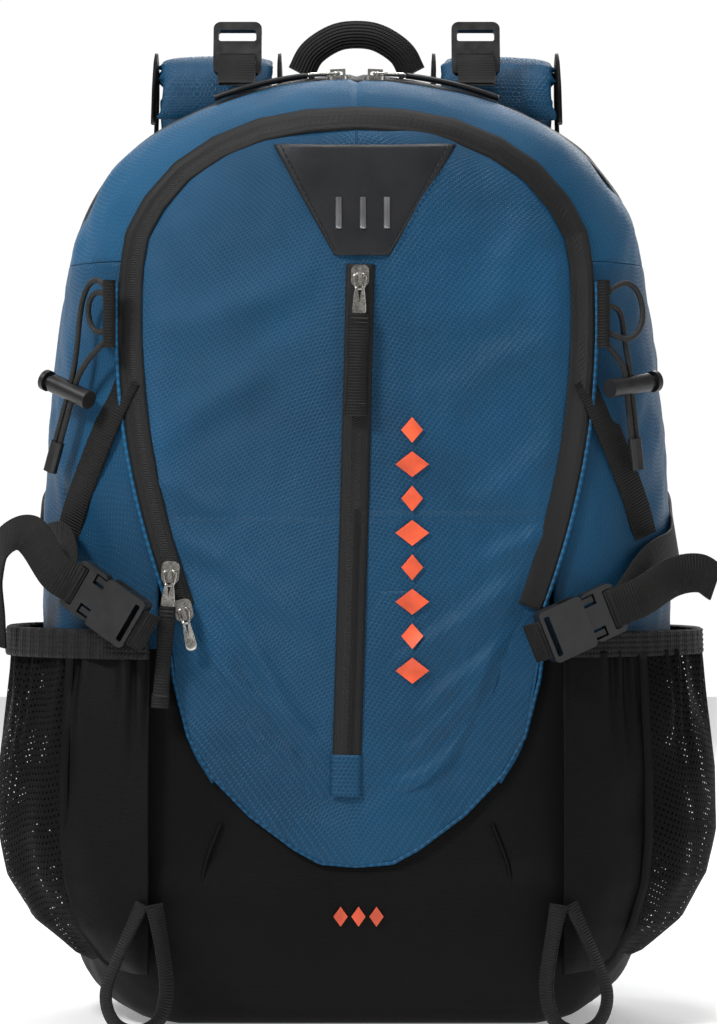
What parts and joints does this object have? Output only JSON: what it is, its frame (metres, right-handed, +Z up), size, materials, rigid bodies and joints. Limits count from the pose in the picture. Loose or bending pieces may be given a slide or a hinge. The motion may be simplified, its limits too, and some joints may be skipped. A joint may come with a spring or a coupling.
{
  "type": "hiking daypack",
  "caption": "Panel-loading hiking daypack with a front pocket, side pockets, compression buckles, cord locks and padded shoulder straps.",
  "frame": {"origin": "centre of the base on the surface it stands on, bounding box bottom centre", "axes": "+Z up, -Y out of the front, +X to the right of somebody facing the front"},
  "size_m": [0.3766, 0.2189, 0.5265],
  "materials": {
    "blue_fabric": "ripstop nylon",
    "black_fabric": "plain woven nylon",
    "back_mesh": "spacer mesh",
    "pocket_mesh": "stretch mesh",
    "elastic": "ribbed elastic",
    "webbing": "ribbed webbing",
    "zip_tape": "reverse coil zip tape",
    "patch": "coated synthetic leather",
    "stiffener": "polyethylene sheet",
    "hardware_metal": "plated zinc",
    "hardware_plastic": "moulded acetal",
    "spring_steel": "drawn wire",
    "elastic_cord": "braided elastic cord"
  },
  "bodies": {
    "root": {"back_pads": "back_mesh", "back_panel": "black_fabric", "base_loops": "webbing", "base_panel": "black_fabric", "buckle_socket_left": "hardware_plastic", "buckle_socket_right": "hardware_plastic", "buckle_tabs": "webbing", "bungee_left_inner": "elastic_cord", "bungee_left_loop": "elastic_cord", "bungee_left_outer": "elastic_cord", "bungee_right_inner": "elastic_cord", "bungee_right_loop": "elastic_cord", "bungee_right_outer": "elastic_cord", "bungee_tabs": "webbing", "centre_zip_tape": "zip_tape", "compression_straps": "webbing", "cord_ends": "hardware_plastic", "frame_sheet": "stiffener", "front_panel": "blue_fabric", "gusset_left": "blue_fabric", "gusset_right": "blue_fabric", "gusset_top": "black_fabric", "harness_webbing": "webbing", "lower_panel": "black_fabric", "main_zip_tape": "zip_tape", "pocket_divider": "black_fabric", "pocket_elastics": "elastic", "pocket_zip_sides": "zip_tape", "side_pocket_left": "pocket_mesh", "side_pocket_right": "pocket_mesh"},
    "top_lid": {"lid_panel": "blue_fabric", "pocket_zip_arch": "zip_tape", "crown_patch": "patch"},
    "harness": {"shoulder_straps": "blue_fabric", "strap_adjusters": "hardware_plastic"},
    "haul_loop": {"haul_loop": "webbing"},
    "centre_slider": {"centre_slider": "hardware_metal"},
    "centre_pull": {"centre_pull": "hardware_metal"},
    "main_slider_left": {"main_slider_left": "hardware_metal"},
    "main_slider_right": {"main_slider_right": "hardware_metal"},
    "main_pull_left": {"main_pull_left": "hardware_metal"},
    "main_pull_right": {"main_pull_right": "hardware_metal"},
    "pocket_slider_upper": {"pocket_slider_upper": "hardware_metal"},
    "pocket_slider_lower": {"pocket_slider_lower": "hardware_metal"},
    "pocket_pull_upper": {"pocket_pull_upper": "hardware_metal"},
    "pocket_pull_lower": {"pocket_pull_lower": "hardware_metal"},
    "ladder_lock_left": {"ladder_lock_left": "hardware_plastic"},
    "ladder_lock_right": {"ladder_lock_right": "hardware_plastic"},
    "buckle_latch_left": {"buckle_latch_left": "hardware_plastic"},
    "buckle_prong_left_upper": {"buckle_prong_left_upper": "hardware_plastic"},
    "buckle_prong_left_lower": {"buckle_prong_left_lower": "hardware_plastic"},
    "buckle_latch_right": {"buckle_latch_right": "hardware_plastic"},
    "buckle_prong_right_upper": {"buckle_prong_right_upper": "hardware_plastic"},
    "buckle_prong_right_lower": {"buckle_prong_right_lower": "hardware_plastic"},
    "cord_lock_barrel_left": {"cord_lock_barrel_left": "hardware_plastic", "cord_lock_spring_left": "spring_steel"},
    "cord_lock_plunger_left": {"cord_lock_plunger_left": "hardware_plastic"},
    "cord_lock_barrel_right": {"cord_lock_barrel_right": "hardware_plastic", "cord_lock_spring_right": "spring_steel"},
    "cord_lock_plunger_right": {"cord_lock_plunger_right": "hardware_plastic"}
  },
  "joints": [
    {"name": "lid_fold", "type": "hinge", "parent": "root", "child": "top_lid", "pos_m": [0, -0.07239, 0.38916], "axis": [1, 0, 0], "range_deg": [0, 45]},
    {"name": "harness_swing", "type": "hinge", "parent": "root", "child": "harness", "pos_m": [0, 0.06, 0.49], "axis": [1, 0, 0], "range_deg": [0, 10]},
    {"name": "haul_loop_fold", "type": "hinge", "parent": "root", "child": "haul_loop", "pos_m": [0, 0.0545, 0.497], "axis": [1, 0, 0], "range_deg": [-60, 60], "stiffness_Nm_per_rad": 0.02},
    {"name": "centre_zip_run", "type": "slide", "parent": "root", "child": "centre_slider", "axis": [-0.0262, -0.0697, -0.9972], "range_m": [0, 0.225]},
    {"name": "centre_pull_swing", "type": "hinge", "parent": "centre_slider", "child": "centre_pull", "pos_m": [0.0018, -0.07764, 0.38151], "axis": [-0.9997, 0.0018, 0.0261], "range_deg": [0, 110]},
    {"name": "main_zip_run_left", "type": "hinge", "parent": "root", "child": "main_slider_left", "pos_m": [0, -0.01, 0.276], "axis": [0, -1, 0], "range_deg": [0, 24]},
    {"name": "main_zip_run_right", "type": "hinge", "parent": "root", "child": "main_slider_right", "pos_m": [0, -0.01, 0.276], "axis": [0, 1, 0], "range_deg": [0, 24]},
    {"name": "main_pull_left_swing", "type": "hinge", "parent": "main_slider_left", "child": "main_pull_left", "pos_m": [-0.00975, -0.01, 0.49068], "axis": [0, 1, 0], "range_deg": [0, 110]},
    {"name": "main_pull_right_swing", "type": "hinge", "parent": "main_slider_right", "child": "main_pull_right", "pos_m": [0.00975, -0.01, 0.49068], "axis": [0, -1, 0], "range_deg": [0, 110]},
    {"name": "pocket_zip_run_upper", "type": "hinge", "parent": "root", "child": "pocket_slider_upper", "pos_m": [0.3062, -0.07282, 0.36012], "axis": [0, 0.9976, -0.0698], "range_deg": [0, 15]},
    {"name": "pocket_zip_run_lower", "type": "hinge", "parent": "root", "child": "pocket_slider_lower", "pos_m": [0.3062, -0.07282, 0.36012], "axis": [0, 0.9976, -0.0698], "range_deg": [0, 0.3]},
    {"name": "pocket_pull_upper_swing", "type": "hinge", "parent": "pocket_slider_upper", "child": "pocket_pull_upper", "pos_m": [-0.0935, -0.0883, 0.23189], "axis": [-0.9974, 0.005, 0.0715], "range_deg": [0, 110]},
    {"name": "pocket_pull_lower_swing", "type": "hinge", "parent": "pocket_slider_lower", "child": "pocket_pull_lower", "pos_m": [-0.08686, -0.08963, 0.21294], "axis": [-0.9758, -0.0153, -0.2182], "range_deg": [0, 110]},
    {"name": "buckle_release_left", "type": "slide", "parent": "root", "child": "buckle_latch_left", "axis": [-0.7792, 0.3224, 0.5374], "range_m": [0, 0.022]},
    {"name": "prong_flex_left_upper", "type": "hinge", "parent": "buckle_latch_left", "child": "buckle_prong_left_upper", "pos_m": [-0.13695, -0.0915, 0.21377], "axis": [-0.3822, -0.9241, 0.0003], "range_deg": [0, 7], "stiffness_Nm_per_rad": 0.05},
    {"name": "prong_flex_left_lower", "type": "hinge", "parent": "buckle_latch_left", "child": "buckle_prong_left_lower", "pos_m": [-0.1284, -0.09503, 0.22828], "axis": [0.3822, 0.9241, -0.0003], "range_deg": [0, 7], "stiffness_Nm_per_rad": 0.05},
    {"name": "buckle_release_right", "type": "slide", "parent": "root", "child": "buckle_latch_right", "axis": [0.8816, 0.2665, 0.3895], "range_m": [0, 0.022]},
    {"name": "prong_flex_right_upper", "type": "hinge", "parent": "buckle_latch_right", "child": "buckle_prong_right_upper", "pos_m": [0.1171, -0.09281, 0.21826], "axis": [0.2912, -0.9567, -0.0044], "range_deg": [0, 7], "stiffness_Nm_per_rad": 0.05},
    {"name": "prong_flex_right_lower", "type": "hinge", "parent": "buckle_latch_right", "child": "buckle_prong_right_lower", "pos_m": [0.12348, -0.09079, 0.20242], "axis": [-0.2912, 0.9567, 0.0044], "range_deg": [0, 7], "stiffness_Nm_per_rad": 0.05},
    {"name": "cord_lock_run_left", "type": "slide", "parent": "root", "child": "cord_lock_barrel_left", "axis": [-0.2669, 0.2121, -0.9401], "range_m": [0, 0.018]},
    {"name": "plunger_press_left", "type": "slide", "parent": "cord_lock_barrel_left", "child": "cord_lock_plunger_left", "axis": [0.7353, -0.5845, -0.3431], "range_m": [0, 0.003], "stiffness_N_per_m": 400, "deforming": ["cord_lock_spring_left"]},
    {"name": "cord_lock_run_right", "type": "slide", "parent": "root", "child": "cord_lock_barrel_right", "axis": [0.1086, 0.0863, -0.9903], "range_m": [0, 0.018]},
    {"name": "plunger_press_right", "type": "slide", "parent": "cord_lock_barrel_right", "child": "cord_lock_plunger_right", "axis": [-0.7752, -0.6161, -0.1397], "range_m": [0, 0.003], "stiffness_N_per_m": 400, "deforming": ["cord_lock_spring_right"]},
    {"name": "ladder_lock_tilt_left", "type": "hinge", "parent": "harness", "child": "ladder_lock_left", "pos_m": [-0.064, 0.0525, 0.511], "axis": [1, 0, 0], "range_deg": [-10, 10], "stiffness_Nm_per_rad": 0.01},
    {"name": "ladder_lock_tilt_right", "type": "hinge", "parent": "harness", "child": "ladder_lock_right", "pos_m": [0.064, 0.0525, 0.511], "axis": [1, 0, 0], "range_deg": [-10, 10], "stiffness_Nm_per_rad": 0.01}
  ],
  "couplings": [
    {"joint": "prong_flex_left_lower", "follows": "prong_flex_left_upper", "ratio": 1},
    {"joint": "prong_flex_right_lower", "follows": "prong_flex_right_upper", "ratio": 1}
  ]
}
